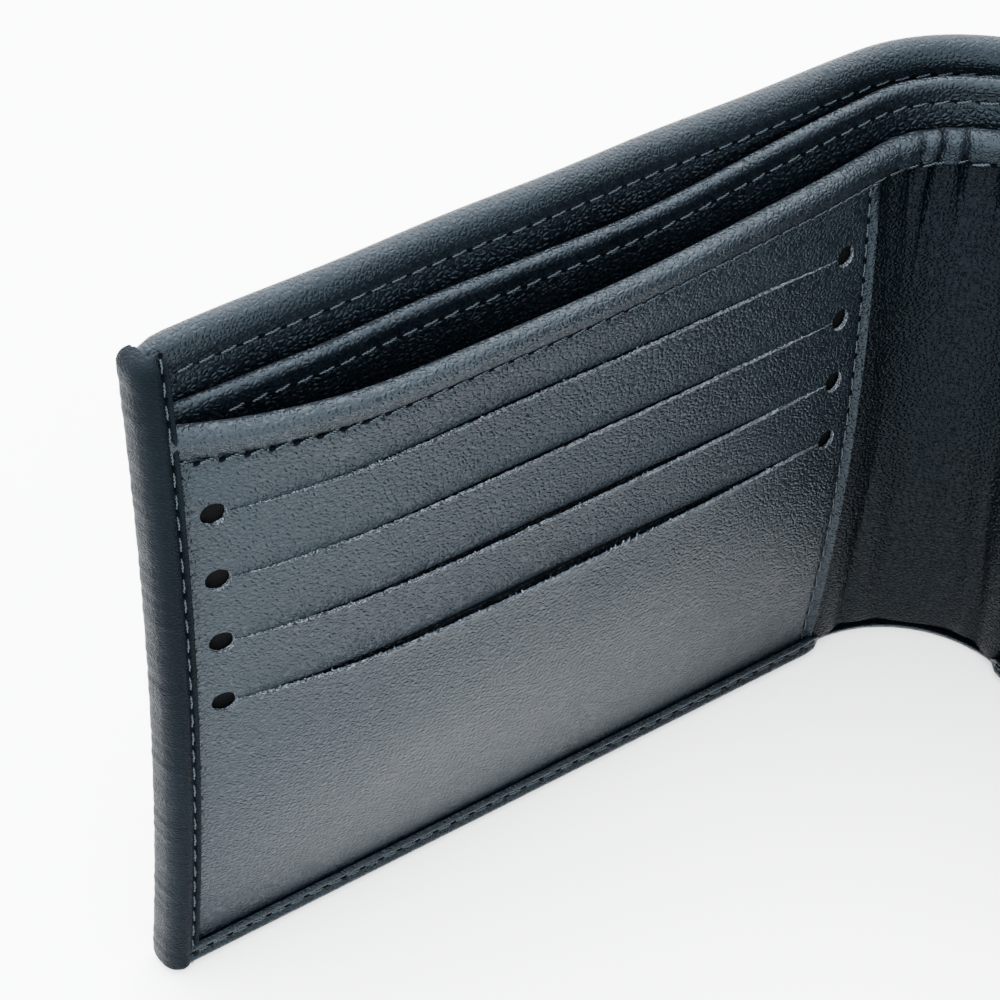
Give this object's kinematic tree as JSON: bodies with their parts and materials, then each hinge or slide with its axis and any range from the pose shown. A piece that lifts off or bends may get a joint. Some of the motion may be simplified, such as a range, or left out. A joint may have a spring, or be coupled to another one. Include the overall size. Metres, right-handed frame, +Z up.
{
  "type": "trifold wallet",
  "caption": "Black leather trifold wallet standing half open, with two slit card panels, two full-length bill pockets, a broad gathered spine and a folding card flap with a clear window.",
  "frame": {"origin": "middle of the standing wallet's outer box, on the surface that it stands on", "axes": "+Z up, along the spine; the left leaf runs along X with its inside facing -Y; the centre leaf runs along Y with its inside facing -X"},
  "size_m": [0.1264, 0.2162, 0.092],
  "materials": {
    "outer_leather": "near-black smooth leather with a fine grain and a cool satin sheen",
    "inner_leather": "near-black smooth leather, fine grain, satin",
    "pebbled_lining": "near-black leatherette with a coarser pebbled grain",
    "sleeve_fabric": "black close-woven lining fabric",
    "black_thread": "black waxed sewing thread",
    "clear_vinyl": "clear flexible sheet"
  },
  "bodies": {
    "spine": {"spine_divider": "pebbled_lining", "spine_divider_thread": "black_thread", "spine_gathered_lining": "inner_leather", "spine_pocket_thread": "black_thread", "spine_shell": "outer_leather", "spine_shell_lining": "pebbled_lining", "spine_top_thread": "black_thread", "spine_top_turned_edge": "outer_leather"},
    "left_leaf": {"left_bottom_thread": "black_thread", "left_bottom_turned_edge": "outer_leather", "left_card_panel": "inner_leather", "left_card_sleeve_1": "sleeve_fabric", "left_card_sleeve_2": "sleeve_fabric", "left_card_sleeve_3": "sleeve_fabric", "left_card_sleeve_4": "sleeve_fabric", "left_divider": "pebbled_lining", "left_divider_thread": "black_thread", "left_pocket_thread": "black_thread", "left_pocket_wall": "inner_leather", "left_seam_thread": "black_thread", "left_shell": "outer_leather", "left_shell_lining": "pebbled_lining", "left_side_thread": "black_thread", "left_side_turned_edge": "outer_leather", "left_top_thread": "black_thread", "left_top_turned_edge": "outer_leather"},
    "centre_leaf": {"centre_bottom_thread": "black_thread", "centre_bottom_turned_edge": "outer_leather", "centre_card_panel": "inner_leather", "centre_card_sleeve_1": "sleeve_fabric", "centre_card_sleeve_2": "sleeve_fabric", "centre_card_sleeve_3": "sleeve_fabric", "centre_card_sleeve_4": "sleeve_fabric", "centre_divider": "pebbled_lining", "centre_divider_thread": "black_thread", "centre_pocket_thread": "black_thread", "centre_pocket_wall": "inner_leather", "centre_seam_thread": "black_thread", "centre_shell": "outer_leather", "centre_shell_lining": "pebbled_lining", "centre_side_thread": "black_thread", "centre_side_turned_edge": "outer_leather", "centre_top_thread": "black_thread", "centre_top_turned_edge": "outer_leather", "flap_hinge_tab": "outer_leather", "flap_hinge_thread": "black_thread"},
    "flap_spine": {"flap_spine_lining": "pebbled_lining", "flap_spine_strip": "outer_leather"},
    "flap": {"flap_backing": "sleeve_fabric", "flap_bottom_thread": "black_thread", "flap_bottom_turned_edge": "outer_leather", "flap_clear_window": "clear_vinyl", "flap_shell": "outer_leather", "flap_side_thread": "black_thread", "flap_side_turned_edge": "outer_leather", "flap_top_thread": "black_thread", "flap_top_turned_edge": "outer_leather", "flap_window_frame": "inner_leather"}
  },
  "joints": [
    {"name": "left_fold", "type": "hinge", "parent": "spine", "child": "left_leaf", "pos_m": [0.0408, 0.10349, 0], "axis": [0, 0, 1], "range_deg": [-45, 44]},
    {"name": "centre_fold", "type": "hinge", "parent": "spine", "child": "centre_leaf", "pos_m": [0.0586, 0.08569, 0], "axis": [0, 0, -1], "range_deg": [-45, 44]},
    {"name": "flap_spine_fold", "type": "hinge", "parent": "centre_leaf", "child": "flap_spine", "pos_m": [0.0622, -0.02151, 0], "axis": [0, 0, -1], "range_deg": [-17.5, 72]},
    {"name": "flap_fold", "type": "hinge", "parent": "flap_spine", "child": "flap", "pos_m": [0.05694, -0.0382, 0], "axis": [0, 0, -1], "range_deg": [-17.5, 72]}
  ]
}
